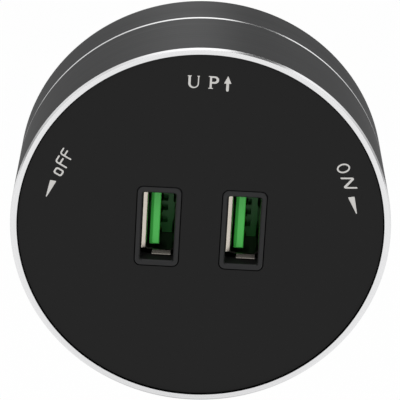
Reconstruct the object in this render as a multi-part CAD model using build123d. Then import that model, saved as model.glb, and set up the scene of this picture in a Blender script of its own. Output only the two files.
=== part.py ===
from build123d import *
import os
from math import asin, cos, degrees, radians, sin, tan

# Round adapter for a power track, with two USB-A charging ports, in millimetres.
# The origin is the centre of the seat face that lies against the track. The face of
# the adapter looks along -Y, up is +Z, and +Y points into the track. "Depth" is the
# Y coordinate: -body_depth at the front rim, 0 at the seat face.

# Body
body_radius = 36.0
body_depth = 29.1
rear_sleeve_depth = 10.7
turning_gap = 0.25
sleeve_wall = 1.3
rim_chamfer = 0.33
collar_chamfer = 0.3
edge_break = 0.15
front_lip_width = 1.3
front_lip_depth = 1.25
rear_lip_width = 1.2
rear_lip_depth = 1.4

# Moulded front housing
face_recess = 0.3
face_thickness = 2.2
face_edge_radius = 0.4
housing_gap = 0.25
housing_wall = 1.6
crush_rib_count = 8
crush_rib_width = 2.4
frame_rib = 1.0
frame_rib_height = 2.0
frame_gap = 0.15
gusset_thickness = 1.2
gusset_height = 6.0

# Port bezels
port_pitch = 16.1
bezel_width = 8.3
bezel_height = 16.0
bezel_corner = 1.1
bezel_proud = 0.15
bezel_edge = 0.25
bezel_gap = 0.15
opening_width = 6.35
opening_height = 13.7
opening_corner = 0.5
opening_chamfer = 0.25
flange_width = 10.5
flange_height = 18.2
flange_thickness = 1.2
pocket_gap = 0.15
pocket_corner = 0.8

# USB-A receptacles, set a little off the middle of their bezels
port_shift_x = 0.55
port_shift_z = 0.35
plug_width = 5.12
plug_height = 12.5
shell_sheet = 0.3
shell_corner = 0.4
shell_set_back = 2.3
shell_leg_width = 1.8
spring_width = 1.9
spring_rise = 0.4
spring_slot = 0.35
spring_spacing = 6.4
spring_set_back = 3.0
spring_end_gap = 1.3
tongue_thickness = 1.84
tongue_width = 11.1
tongue_set_back = 3.7
tongue_side_gap = 0.55
tongue_back_chamfer = 0.55
tongue_pin_chamfer = 0.15
tongue_end_chamfer = 0.3
insulator_length = 4.4
insulator_gap = 0.04
pin_slot_reach = 1.4
pin_slot_depth = 1.6
pin_slot_gap = 0.1
pin_sheet = 0.25
pin_width = 1.1
pin_bump = 0.3
pin_crest_place = 1.2
pin_bump_length = 2.7
pin_set_back = 0.9
pin_places = (-3.5, -1.0, 1.0, 3.5)
pin_reach = 0.8
board_hole_gap = 0.2

# Lips bent out of the shell's walls. A slope is counted in degrees from the face
lip_bend = 0.3
slit_depth = 1.3
side_lip_reach = 0.85
side_lip_slope = 28.0
side_lip_slit = 0.5
end_lip_reach = 0.6
end_lip_slope = 53.0
end_lip_slits = (1.1, 0.45)

# Circuit board
board_thickness = 1.6
board_gap = 0.5
board_room = 2.2

# What stands on the board. An inset is counted inwards from the board's edge
transformer_inset = 8.8
transformer_width = 12.4
transformer_span = 13.4
transformer_top_gap = 0.4
transformer_leg = 1.8
transformer_middle = 3.6
transformer_yoke = 1.5
transformer_core_width = 6.0
winding_gap = 0.3
winding_corner = 1.5
bulk_radius = 4.0
bulk_inset = 10.0
bulk_spacing = 9.6
bulk_top_gap = 1.8
output_radius = 3.15
output_height = 9.0
output_places = ((-12.5, -16.5), (12.5, -16.5))
can_groove_place = 2.0
can_groove_width = 1.0
can_groove_depth = 0.4
can_edge = 0.45
choke_x = -9.0
choke_inset = 11.9
choke_ring = 4.4
choke_core = 4.0
choke_core_edge = 1.0
choke_wire = 0.5
choke_turns = 6
choke_turn_width = 1.0
choke_turn_angle = 24.0
choke_start_angle = -30.0
y_capacitor_place = (0.0, -15.0)
y_capacitor_radius = 3.6
y_capacitor_thickness = 2.8
y_capacitor_edge = 0.9
y_capacitor_lift = 0.8
y_capacitor_leg = 0.6
y_capacitor_leg_place = 1.8
fuse_x = 4.0
fuse_inset = 6.4
fuse_size = (8.4, 4.2, 7.6)
fuse_corner = 0.6
bridge_x = 7.5
bridge_fuse_spacing = 8.5
bridge_size = (8.2, 6.4, 3.2)
bridge_draft = 5.0
bridge_lift = 0.2
bridge_leg_place = 2.05
bridge_leg_reach = 1.4
bridge_leg = (1.2, 1.1)
chip_places = ((0.0, 8.6), (-6.0, -21.0), (6.0, -21.0))
chip_size = (4.9, 3.9, 1.5)
chip_lift = 0.1
chip_leg_pairs = 4
chip_leg_pitch = 1.27
chip_leg_width = 0.42
chip_leg_reach = 1.05
chip_leg_thickness = 0.5

# Moulded rear cover, which turns with the front
cover_thickness = 1.8
cover_gap = 0.35
cover_ring_wall = 1.75
cover_ring_gap = 0.2
cover_ring_reach = 0.8
cover_edge = 0.5
cover_boss_radius = 12.0
cover_boss_height = 0.6
pillar_radius = 3.4

# Click ring, leaf springs and end stops
twist_angle = 90.0
detent_depth = 3.8
detent_stop_gap = 2.6
detent_ring_wall = 2.8
detent_ring_gap = 0.5
notch_radius = 2.2
notch_depth = 1.5
leaf_thickness = 0.4
leaf_height = 2.7
leaf_nose_gap = 0.25
leaf_nose_radius = 1.2
leaf_nose_half_width = 3.4
leaf_nose_rise = 3.6
leaf_half_length = 10.4
leaf_seat = 0.3
post_width = 3.2
post_height = 4.4
post_gap = 0.05
post_clearance = 0.4
stop_inset = 3.7
stop_length = 3.8
stop_lug_width = 3.2
stop_rib_width = 2.4
stop_gap = 0.15
stop_clearance = 0.4
stop_angles = (45.0, 225.0)

# Moulded base, which stays still in the track
base_web = 2.0
base_recess = 0.15
base_fit = 0.03
base_rim_wall = 1.6
base_rim_height = 3.5
snap_bead = 0.35
snap_groove_gap = 0.08
snap_width = 1.0
snap_set_back = 1.2
snap_slot_count = 6
snap_slot_width = 3.0
hub_wall = 4.2
hub_rib_count = 6
hub_rib_thickness = 1.2
hub_rib_height = 2.4
washer_thickness = 0.25
washer_gap = 0.05
washer_wall = 3.6
guide_key_start = 11.5
guide_key_length = 10.0
guide_key_height = 14.4
guide_key_depth = 2.5
guide_key_corner = 1.5

# Contact rotor, which passes through the base and locks behind the track's lips
neck_radius = 7.2
neck_fit = 0.05
neck_bore = 3.0
neck_flange_radius = 9.5
neck_flange_thickness = 1.4
neck_flange_set_in = 0.5
neck_flange_gap = 0.1
spigot_radius = 3.9
spigot_flats = 6.6
spigot_fit = 0.08
lip_space = 3.4
head_radius = 17.0
head_width = 14.0
head_wall = 1.6
head_floor = 1.8
head_cavity = 3.6
head_chamfer = 0.6
cap_thickness = 1.6
cap_chamfer = 0.7
cap_screw_place = 7.6
cap_boss_radius = 2.2

# Leaf contacts of the rotor
contact_sheet = 0.6
contact_width = 6.4
contact_tail = 3.3
contact_reach = 1.4
contact_bend = 0.8
contact_gap = 0.1
earth_width = 5.0
earth_reach = 2.0
earth_half_base = 3.4
earth_half_top = 1.5
earth_half_length = 10.2

# Leads
lead_diameter = 1.7
lead_offset_x = 1.75
lead_offset_z = 0.6
earth_lead_z = -1.9
lead_bend = 1.6
lead_tail = 5.2

# Screws: shank radius, head radius, length
frame_screw = (1.45, 2.7, 14.0)
rotor_screw = (0.9, 1.7, 8.0)
cap_screw = (0.9, 1.7, 4.6)
frame_screw_inset = 3.0
frame_screw_angles = (30.0, 150.0, 270.0)
frame_boss_radius = 3.2
rotor_screw_inset = 1.7
rotor_screw_angles = (90.0, 210.0, 330.0)
thread_gap = 0.02
hole_gap = 0.15

# Depths worked out from the sizes above, from the front to the track
front_y = -body_depth
face_y = front_y + face_recess
face_back_y = face_y + face_thickness
mouth_y = face_y + shell_set_back
tongue_y = face_y + tongue_set_back
split_y = -rear_sleeve_depth - turning_gap
front_lip_y = split_y - front_lip_depth
base_front_y = -rear_lip_depth - base_web
cover_rear_y = base_front_y - detent_depth
cover_front_y = cover_rear_y - cover_thickness
boss_y = cover_rear_y + cover_boss_height
board_back_y = cover_front_y - board_room
board_y = board_back_y - board_thickness
hub_y = boss_y + washer_gap + washer_thickness
neck_flange_y = -neck_flange_set_in - neck_flange_thickness
head_y = lip_space
floor_y = head_y + head_floor
cap_y = floor_y + head_cavity
cap_back_y = cap_y + cap_thickness

# Radii worked out from the sizes above
sleeve_bore = body_radius - sleeve_wall
housing_radius = sleeve_bore - housing_gap
housing_bore = housing_radius - housing_wall
front_lip_bore = sleeve_bore - front_lip_width
rear_lip_bore = sleeve_bore - rear_lip_width
cover_radius = sleeve_bore - cover_gap
cover_ring_radius = min(housing_bore, front_lip_bore) - cover_ring_gap
board_radius = cover_ring_radius - cover_ring_wall - board_gap
frame_screw_place = board_radius - frame_screw_inset
stop_inner_radius = sleeve_bore - stop_inset - stop_length
detent_ring_radius = stop_inner_radius - detent_stop_gap
hub_bore = neck_radius + neck_fit
rotor_screw_place = neck_radius - rotor_screw_inset


def face_plane(y):
    """The plane across the axis at depth y, seen from the front: right is +X, up is +Z."""
    return Plane(origin=(0, y, 0), x_dir=(1, 0, 0), z_dir=(0, -1, 0))


def slab(outline, near_y, far_y):
    """An outline drawn as seen from the front, solid from near_y to far_y."""
    return extrude(face_plane(far_y) * outline, far_y - near_y)


def turned(*points):
    """A turned solid from (radius, depth) points."""
    return revolve(make_face(Polyline(*points, close=True)), Axis.Y)


def across(outline, width, z=0.0):
    """An outline of (x, depth) made solid across z, as wide as stated."""
    return Pos(0, 0, z) * extrude(outline, width / 2, both=True)


def rounded(width, height, radius, x=0.0, z=0.0):
    return Pos(x, z) * RectangleRounded(width, height, radius)


def polar(radius, angle):
    """(x, z) at an angle counted from +X towards +Z."""
    return radius * cos(radians(angle)), radius * sin(radians(angle))


def turn(angle, solid):
    """A solid turned about the axis, from +X towards +Z."""
    return Rot(0, -angle, 0) * solid


def sheet_strip(points, radius, thickness, width, z=0.0):
    """Sheet metal bent along (x, depth) points, as wide as stated across z."""
    path = FilletPolyline(*points, radius=radius)
    outline = offset(path, thickness / 2, kind=Kind.INTERSECTION, side=Side.BOTH)
    return across(make_face(outline), width, z)


def screw(size, grow=0.0):
    """A countersunk screw, its head flush at depth 0 and its tip to the front. Grown, it is its hole."""
    shank, head, length = size
    tip = shank / 2
    return turned(
        (0, 0),
        (head + grow, 0),
        (shank + grow, shank - head),
        (shank + grow, tip - length),
        (tip + grow, -length - grow),
        (0, -length - grow),
    )


def facing_track(solid):
    """The same solid, pointing the other way along the axis."""
    return Rot(180, 0, 0) * solid


def frame_screws(grow=0.0):
    places = [polar(frame_screw_place, angle) for angle in frame_screw_angles]
    return [Pos(x, cover_rear_y, z) * screw(frame_screw, grow) for x, z in places]


def rotor_screws(grow=0.0):
    places = [polar(rotor_screw_place, angle) for angle in rotor_screw_angles]
    return [
        Pos(x, cover_front_y, z) * facing_track(screw(rotor_screw, grow)) for x, z in places
    ]


def cap_screws(grow=0.0):
    return [
        Pos(x, cap_back_y, 0) * screw(cap_screw, grow) for x in (-cap_screw_place, cap_screw_place)
    ]


def ports():
    """The x of each port's middle, left then right."""
    return -port_pitch / 2, port_pitch / 2


# Sleeves


def front_sleeve():
    """Tube round the housing. Its front end is the bright rim, and a lip at the rear holds it."""
    return turned(
        (sleeve_bore, front_y),
        (body_radius - rim_chamfer, front_y),
        (body_radius, front_y + rim_chamfer),
        (body_radius, split_y - edge_break),
        (body_radius - edge_break, split_y),
        (front_lip_bore, split_y),
        (front_lip_bore, front_lip_y),
        (sleeve_bore, front_lip_y),
    )


def rear_sleeve():
    """Tube round the base, with a cut edge in front, a seat lip behind and a snap groove inside."""
    groove = sleeve_bore + snap_bead + snap_groove_gap
    groove_front = base_front_y - snap_set_back - snap_width / 2 - snap_groove_gap
    groove_rear = base_front_y - snap_set_back + snap_width / 2 + snap_groove_gap
    return turned(
        (sleeve_bore, -rear_sleeve_depth),
        (body_radius - collar_chamfer, -rear_sleeve_depth),
        (body_radius, collar_chamfer - rear_sleeve_depth),
        (body_radius, -edge_break),
        (body_radius - edge_break, 0),
        (rear_lip_bore, 0),
        (rear_lip_bore, -rear_lip_depth),
        (sleeve_bore, -rear_lip_depth),
        (sleeve_bore, groove_rear),
        (groove, groove_rear),
        (groove, groove_front),
        (sleeve_bore, groove_front),
    )


# Front housing and port bezels


def housing_cup():
    """The face and its skirt, with the face's edge rounded."""
    corners = [
        (0, face_y),
        (housing_radius, face_y),
        (housing_radius, front_lip_y),
        (housing_bore, front_lip_y),
        (housing_bore, face_back_y),
        (0, face_back_y),
    ]
    outline = FilletPolyline(*corners, radius=[0, face_edge_radius, 0, 0, 0, 0], close=True)
    return revolve(make_face(outline), Axis.Y)


def crush_ribs():
    """Pads on the skirt that centre it in the sleeve."""
    band = Circle(sleeve_bore - base_fit) - Circle(housing_radius - housing_wall / 2)
    bars = Sketch()
    for index in range(crush_rib_count // 2):
        bars += Rot(0, 0, 360 * index / crush_rib_count) * Rectangle(2 * body_radius, crush_rib_width)
    return slab(band & bars, face_back_y, front_lip_y)


def screw_bosses():
    """A boss for each frame screw, tied to the skirt by a gusset."""
    bosses = Part()
    gusset_length = housing_radius - housing_wall / 2 - frame_screw_place
    for angle in frame_screw_angles:
        x, z = polar(frame_screw_place, angle)
        bosses += slab(Pos(x, z) * Circle(frame_boss_radius), face_back_y, board_y)
        x, z = polar(frame_screw_place + gusset_length / 2, angle)
        gusset = Rot(0, 0, angle) * Rectangle(gusset_length, gusset_thickness)
        bosses += slab(Pos(x, z) * gusset, face_back_y, face_back_y + gusset_height)
    return bosses


def front_housing():
    body = housing_cup() + crush_ribs() + screw_bosses()
    for x in ports():
        inner = rounded(flange_width + 2 * frame_gap, flange_height + 2 * frame_gap, bezel_corner, x)
        wall = 2 * (frame_gap + frame_rib)
        outer = rounded(flange_width + wall, flange_height + wall, bezel_corner + frame_rib, x)
        body += slab(outer - inner, face_back_y, face_back_y + frame_rib_height)
        hole = rounded(
            bezel_width + 2 * bezel_gap, bezel_height + 2 * bezel_gap, bezel_corner + bezel_gap, x
        )
        body -= slab(hole, face_y, face_back_y)
    for hole in frame_screws(thread_gap):
        body -= hole
    return body


def plug_outline(grow=0.0):
    """The inside of the shell, grown all round."""
    return RectangleRounded(plug_width + 2 * grow, plug_height + 2 * grow, shell_corner + grow)


def lip_edge(reach, slope):
    """How far a lip's outer edge stands out from the inside of its wall."""
    return reach + shell_sheet * sin(radians(slope))


def port_bezel(x):
    """Frame whose nose fills the hole in the face. A pocket behind it clears the shell's lips."""
    nose = slab(rounded(bezel_width, bezel_height, bezel_corner), face_y - bezel_proud, face_back_y)
    nose = fillet(nose.edges().group_by(Axis.Y)[0], bezel_edge)
    flange_back_y = face_back_y + flange_thickness
    bezel = nose + slab(rounded(flange_width, flange_height, bezel_corner), face_back_y, flange_back_y)
    opening = rounded(opening_width, opening_height, opening_corner)
    bezel -= slab(opening, face_y - bezel_proud, flange_back_y)
    front = bezel.faces().sort_by(Axis.Y)[0]
    bezel = chamfer(front.inner_wires()[0].edges(), opening_chamfer)
    pocket_width = plug_width + 2 * (lip_edge(side_lip_reach, side_lip_slope) + pocket_gap)
    pocket_height = plug_height + 2 * (lip_edge(end_lip_reach, end_lip_slope) + pocket_gap)
    pocket = rounded(pocket_width, pocket_height, pocket_corner, port_shift_x, port_shift_z)
    bezel -= slab(pocket, mouth_y - pocket_gap, flange_back_y)
    return Pos(x, 0, 0) * bezel


# USB-A receptacles, each built about its own axis and then put in its place


def place_port(x, solid):
    return Pos(x + port_shift_x, 0, port_shift_z) * solid


def lip(wall, reach, slope, width, middle=0.0):
    """Lip on the +X side: it carries on a wall that far out, then bends out at its slope."""
    half = shell_sheet / 2
    root = wall + half
    tip = wall + reach + half * sin(radians(slope))
    tip_y = mouth_y + half * cos(radians(slope))
    bend_y = tip_y + (tip - root) * tan(radians(slope))
    points = [(root, mouth_y + slit_depth), (root, bend_y), (tip, tip_y)]
    return sheet_strip(points, lip_bend, shell_sheet, width, middle)


def shell_lips():
    """Two long lips at the sides and two short ones at the ends, set nearer to the contacts."""
    side_width = plug_height - 2 * side_lip_slit
    side_lip = lip(plug_width / 2, side_lip_reach, side_lip_slope, side_width)
    near, far = end_lip_slits
    end_width = plug_width - near - far
    middle = (near - far) / 2
    top_lip = lip(plug_height / 2, end_lip_reach, end_lip_slope, end_width, -middle)
    bottom_lip = lip(plug_height / 2, end_lip_reach, end_lip_slope, end_width, middle)
    return [side_lip, turn(180, side_lip), turn(90, top_lip), turn(270, bottom_lip)]


def spring_place_y():
    """Depths of the front and rear ends of the shell's springs."""
    return mouth_y + spring_set_back, board_y - insulator_length - spring_end_gap


def shell_spring(side, z):
    """Pressed spring that bulges into the shell, on the side of x given as -1 or 1."""
    near, far = spring_place_y()
    face = side * (plug_width + shell_sheet) / 2
    crest = near + (far - near) / 3
    points = [(face, far), (face - side * spring_rise, crest), (face, near + spring_slot)]
    return sheet_strip(points, (far - near) / 5, shell_sheet, spring_width, z)


def usb_shell(x):
    shell = slab(plug_outline(shell_sheet) - plug_outline(), mouth_y + slit_depth, board_y)
    for part in shell_lips():
        shell += part
    near, far = spring_place_y()
    for z in (-spring_spacing / 2, spring_spacing / 2):
        window = Pos(0, z) * Rectangle(2 * plug_width, spring_width + 2 * spring_slot)
        shell -= slab(window, near, far)
        for side in (-1, 1):
            shell += shell_spring(side, z)
    for side in (-1, 1):
        leg_z = side * (plug_height + shell_sheet) / 2
        leg = Pos(0, leg_z) * Rectangle(shell_leg_width, shell_sheet)
        shell += slab(leg, board_y, board_back_y + pin_reach)
    return place_port(x, shell)


def tongue_x():
    """The x of the tongue's left and right faces, from the receptacle's middle."""
    left = tongue_side_gap - plug_width / 2
    return left, left + tongue_thickness


def pin_solids():
    """The four contact strips, bumped in front and straight down through the board."""
    face = tongue_x()[1]
    inner = face + pin_sheet / 2 - pin_sheet
    outer = face + pin_sheet / 2
    near = tongue_y + pin_set_back
    far = board_back_y + pin_reach
    outline = Polyline(
        (inner, near),
        (outer, near + pin_sheet),
        (outer + pin_bump, near + pin_crest_place),
        (outer, near + pin_bump_length),
        (outer, far),
        (inner, far),
        close=True,
    )
    return [across(make_face(outline), pin_width, z) for z in pin_places]


def usb_tongue(x):
    """Green tongue with chamfered edges, on the block that fills the back of the shell."""
    left, right = tongue_x()
    block_y = board_y - insulator_length
    tongue = slab(
        Pos((left + right) / 2, 0) * Rectangle(tongue_thickness, tongue_width), tongue_y, block_y
    )
    for index, size in ((0, tongue_back_chamfer), (-1, tongue_pin_chamfer)):
        front_edges = tongue.edges().group_by(Axis.Y)[0]
        tongue = chamfer(front_edges.filter_by(Axis.Z).sort_by(Axis.X)[index], size)
    front_edges = tongue.edges().group_by(Axis.Y)[0]
    tongue = chamfer(front_edges.filter_by(Axis.X), tongue_end_chamfer)
    tongue += slab(plug_outline(-insulator_gap), block_y, board_y)
    for z in pin_places:
        slot = Pos(right + pin_slot_reach / 2, z) * Rectangle(pin_slot_reach, pin_width + 2 * pin_slot_gap)
        tongue -= slab(slot, block_y, block_y + pin_slot_depth)
    for pin in pin_solids():
        tongue -= pin
    return place_port(x, tongue)


def usb_contacts(x):
    return Compound([place_port(x, pin) for pin in pin_solids()])


# Circuit board and what stands on it


def main_board():
    board = slab(Circle(board_radius), board_y, board_back_y)
    for x in ports():
        for z in pin_places:
            hole = Pos(tongue_x()[1], z) * Circle(pin_width / 2 + board_hole_gap)
            board -= place_port(x, slab(hole, board_y, board_back_y))
        for side in (-1, 1):
            leg_z = side * (plug_height + shell_sheet) / 2
            slot = Rectangle(shell_leg_width + 2 * board_hole_gap, shell_sheet + 2 * board_hole_gap)
            board -= place_port(x, slab(Pos(0, leg_z) * slot, board_y, board_back_y))
    for hole in frame_screws(hole_gap):
        board -= hole
    return board


def on_board(outline, height, lift=0.0):
    """An outline standing on the front of the board."""
    return slab(outline, board_y - lift - height, board_y - lift)


def transformer_middle_x():
    return transformer_inset - board_radius


def transformer_top_y():
    """As high as the ribs behind the face allow."""
    return face_back_y + frame_rib_height + transformer_top_gap


def transformer_core():
    """Two E shapes end to end: a frame with a middle leg through the winding."""
    height = board_y - transformer_top_y()
    window = (transformer_span - transformer_middle) / 2 - transformer_leg
    core = Box(transformer_core_width, height, transformer_span)
    for side in (-1, 1):
        window_z = side * (transformer_middle + window) / 2
        hole = Box(2 * transformer_core_width, height - 2 * transformer_yoke, window)
        core -= Pos(0, 0, window_z) * hole
    return Pos(transformer_middle_x(), board_y - height / 2, 0) * core


def transformer_winding():
    """Taped winding round the core's middle leg."""
    inner = Rectangle(transformer_core_width, transformer_middle)
    span = transformer_span - 2 * transformer_leg - 2 * winding_gap
    outer = RectangleRounded(transformer_width, span, winding_corner)
    ring = Pos(transformer_middle_x(), 0) * (outer - inner)
    return slab(ring, transformer_top_y() + transformer_yoke, board_y - transformer_yoke)


def can_capacitor(x, z, radius, height):
    """Aluminium can with a rolled groove near the board and a rounded top."""
    top = board_y - height
    groove = board_y - can_groove_place
    corners = [
        (0, top),
        (radius, top),
        (radius, groove - can_groove_width / 2),
        (radius - can_groove_depth, groove),
        (radius, groove + can_groove_width / 2),
        (radius, board_y),
        (0, board_y),
    ]
    outline = FilletPolyline(*corners, radius=[0, can_edge, 0, 0, 0, 0, 0], close=True)
    return Pos(x, 0, z) * revolve(make_face(outline), Axis.Y)


def bulk_capacitors():
    x = board_radius - bulk_inset
    height = board_y - face_back_y - bulk_top_gap
    half = bulk_spacing / 2
    return Compound([can_capacitor(x, z, bulk_radius, height) for z in (half, -half)])


def output_capacitors():
    return Compound([can_capacitor(x, z, output_radius, output_height) for x, z in output_places])


def choke():
    """Toroidal choke lying on the board, its wire as bands round the ring."""
    wound = choke_core + 2 * choke_wire
    ring = Pos(choke_ring, 0)
    core = revolve(ring * RectangleRounded(choke_core, choke_core, choke_core_edge), Axis.Y)
    band = revolve(ring * RectangleRounded(wound, wound, choke_core_edge + choke_wire), Axis.Y)
    bars = Sketch()
    for index in range(choke_turns):
        angle = choke_start_angle + choke_turn_angle * index
        bars += Rot(0, 0, angle) * Rectangle(4 * choke_ring, choke_turn_width)
    bands = band & slab(bars, -wound, wound)
    return Pos(choke_x, board_y - wound / 2, board_radius - choke_inset) * (core + bands)


def y_capacitor():
    """Dipped disc capacitor standing on edge."""
    x, z = y_capacitor_place
    radius = y_capacitor_radius
    disc = fillet(Cylinder(radius, y_capacitor_thickness).edges(), y_capacitor_edge)
    body = Pos(0, board_y - radius - y_capacitor_lift, 0) * disc
    for side in (-1, 1):
        leg = Pos(side * y_capacitor_leg_place, board_y - radius / 2, 0)
        body += leg * Box(y_capacitor_leg, radius, y_capacitor_leg)
    return Pos(x, 0, z) * body


def fuse_z():
    return board_radius - fuse_inset


def fuse():
    """Small boxed time-lag fuse."""
    width, depth, height = fuse_size
    return on_board(Pos(fuse_x, fuse_z()) * RectangleRounded(width, depth, fuse_corner), height)


def bridge_rectifier():
    """Surface-mount bridge: a body with drafted sides and four legs."""
    z = fuse_z() - bridge_fuse_spacing
    width, depth, height = bridge_size
    leg_width, leg_thickness = bridge_leg
    body = Pos(bridge_x, z) * Rectangle(width, depth)
    chip = extrude(face_plane(board_y - bridge_lift) * body, height, taper=bridge_draft)
    for side in (-1, 1):
        legs = Pos(bridge_x + side * bridge_leg_place, z)
        outline = legs * Rectangle(leg_width, depth + 2 * bridge_leg_reach)
        chip += on_board(outline, leg_thickness)
    return chip


def controller_chip(x, z):
    """Surface-mount chip with a row of legs along each long side."""
    width, depth, height = chip_size
    chip = on_board(Pos(x, z) * Rectangle(width, depth), height, chip_lift)
    for index in range(chip_leg_pairs):
        leg_x = x + (index - (chip_leg_pairs - 1) / 2) * chip_leg_pitch
        legs = Pos(leg_x, z) * Rectangle(chip_leg_width, depth + 2 * chip_leg_reach)
        chip += on_board(legs, chip_leg_thickness)
    return chip


def controller_chips():
    return Compound([controller_chip(x, z) for x, z in chip_places])


# Rear cover, click ring and stops


def stop_block(radius_in, length, width, angle, near_y, far_y):
    """A block at an angle round the axis."""
    block = slab(Pos(radius_in + length / 2, 0) * Rectangle(length, width), near_y, far_y)
    return turn(angle, block)


def rear_cover():
    """Dished cover: flange behind the sleeve's lip, ring inside the housing, boss for the rotor."""
    cover = turned(
        (0, cover_front_y),
        (cover_ring_radius - cover_ring_wall, cover_front_y),
        (cover_ring_radius - cover_ring_wall, front_lip_y - cover_ring_reach),
        (cover_ring_radius, front_lip_y - cover_ring_reach),
        (cover_ring_radius, split_y),
        (cover_radius, split_y),
        (cover_radius, cover_rear_y - cover_edge),
        (cover_radius - cover_edge, cover_rear_y),
        (cover_boss_radius, cover_rear_y),
        (cover_boss_radius, boss_y),
        (0, boss_y),
    )
    ring_back_y = base_front_y - detent_ring_gap
    ring = Circle(detent_ring_radius) - Circle(detent_ring_radius - detent_ring_wall)
    for quarter in range(4):
        x, z = polar(detent_ring_radius - notch_depth + notch_radius, 90 * quarter)
        ring -= Pos(x, z) * Circle(notch_radius)
    cover += slab(ring, cover_rear_y, ring_back_y)
    for angle in stop_angles:
        cover += stop_block(
            stop_inner_radius, stop_length, stop_lug_width, angle, cover_rear_y,
            base_front_y - stop_clearance,
        )
    for angle in frame_screw_angles:
        x, z = polar(frame_screw_place, angle)
        cover += slab(Pos(x, z) * Circle(pillar_radius), board_back_y, cover_front_y)
    for hole in frame_screws(hole_gap) + rotor_screws(hole_gap):
        cover -= hole
    socket = Circle(spigot_radius + spigot_fit) & Rectangle(
        3 * spigot_radius, spigot_flats + 2 * spigot_fit
    )
    return cover - slab(socket, cover_front_y, boss_y)


# Base, washer and click springs


def leaf_line():
    """(x, z) points of the upper leaf spring, its nose in the notch at the top of the click ring."""
    nose_z = detent_ring_radius - notch_depth + leaf_nose_gap
    bend_z = nose_z + leaf_nose_rise
    return [
        (-leaf_half_length, bend_z),
        (-leaf_nose_half_width, bend_z),
        (0, nose_z),
        (leaf_nose_half_width, bend_z),
        (leaf_half_length, bend_z),
    ]


def leaf_spring():
    path = FilletPolyline(*leaf_line(), radius=leaf_nose_radius)
    outline = offset(path, leaf_thickness / 2, kind=Kind.INTERSECTION, side=Side.BOTH)
    far_y = base_front_y - leaf_seat
    return slab(make_face(outline), far_y - leaf_height, far_y)


def detent_springs():
    return Compound([turn(angle, leaf_spring()) for angle in (0, 180)])


def leaf_posts():
    """Two slotted posts that hold the ends of the upper leaf spring."""
    bend_z = leaf_line()[0][1]
    near_y = cover_rear_y + post_clearance
    posts = Part()
    for side in (-1, 1):
        x = side * (leaf_half_length - post_width / 2)
        posts += slab(Pos(x, bend_z) * Rectangle(post_width, post_height), near_y, base_front_y)
    slot = Pos(0, bend_z) * Rectangle(3 * leaf_half_length, leaf_thickness + 2 * post_gap)
    return posts - slab(slot, near_y, base_front_y - leaf_seat)


def stop_ribs():
    """End stops, each just past the place where a lug of the cover ends its turn."""
    apart = stop_lug_width / 2 + stop_rib_width / 2 + stop_gap
    beyond = degrees(asin(apart / stop_inner_radius))
    near_y = cover_rear_y + stop_clearance
    ribs = Part()
    for start in stop_angles:
        for angle in (start + beyond, start - twist_angle - beyond):
            ribs += stop_block(
                stop_inner_radius, stop_length, stop_rib_width, angle, near_y, base_front_y
            )
    return ribs


def snap_rim():
    """Rim with a bead that snaps into the sleeve's groove, slotted into springy fingers."""
    bead_y = base_front_y - snap_set_back
    rim_radius = sleeve_bore - base_fit
    rim = turned(
        (rim_radius - base_rim_wall, base_front_y - base_rim_height),
        (rim_radius, base_front_y - base_rim_height),
        (rim_radius, bead_y - snap_width / 2),
        (rim_radius + snap_bead, bead_y),
        (rim_radius, bead_y + snap_width / 2),
        (rim_radius, base_front_y),
        (rim_radius - base_rim_wall, base_front_y),
    )
    slots = Sketch()
    for index in range(snap_slot_count // 2):
        slots += Rot(0, 0, 360 * index / snap_slot_count) * Rectangle(3 * body_radius, snap_slot_width)
    return rim - slab(slots, base_front_y - base_rim_height, base_front_y)


def base_plate():
    seat_y = -base_recess
    plate = slab(Circle(sleeve_bore - base_fit), base_front_y, -rear_lip_depth)
    plate += slab(Circle(rear_lip_bore - base_fit), -rear_lip_depth, seat_y)
    plate += slab(Circle(hub_bore + hub_wall), hub_y, base_front_y)
    plate += snap_rim() + stop_ribs()
    for angle in (0, 180):
        plate += turn(angle, leaf_posts())
    hub_rib_end = detent_ring_radius - detent_ring_wall - detent_ring_gap
    for index in range(hub_rib_count):
        angle = 360 * (index + 0.5) / hub_rib_count
        plate += stop_block(
            neck_radius + hub_wall / 2,
            hub_rib_end - neck_radius - hub_wall / 2,
            hub_rib_thickness,
            angle,
            base_front_y - hub_rib_height,
            base_front_y,
        )
    key_middle = guide_key_start + guide_key_length / 2
    for x in (-key_middle, key_middle):
        key = rounded(guide_key_length, guide_key_height, guide_key_corner, x)
        plate += slab(key, seat_y, guide_key_depth)
    plate -= slab(Circle(hub_bore), hub_y, seat_y)
    flange_room = Circle(neck_flange_radius + cover_gap)
    return plate - slab(flange_room, neck_flange_y - neck_flange_gap, seat_y)


def thrust_washer():
    ring = Circle(hub_bore + washer_wall) - Circle(hub_bore + washer_gap)
    return slab(ring, hub_y - washer_thickness, hub_y)


# Contact rotor, its cap and contacts


def head_outline():
    """Oblong head: a disc with its top and bottom cut off, so that it turns inside a round space."""
    return Circle(head_radius) & Rectangle(2 * head_radius, head_width)


def contact_window(side):
    """The opening in one end of the head, for the nose of a contact."""
    width = contact_width + 2 * contact_gap
    x = side * (head_radius - head_wall)
    return slab(Pos(x, 0) * Rectangle(3 * head_wall, width), floor_y, cap_y)


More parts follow.
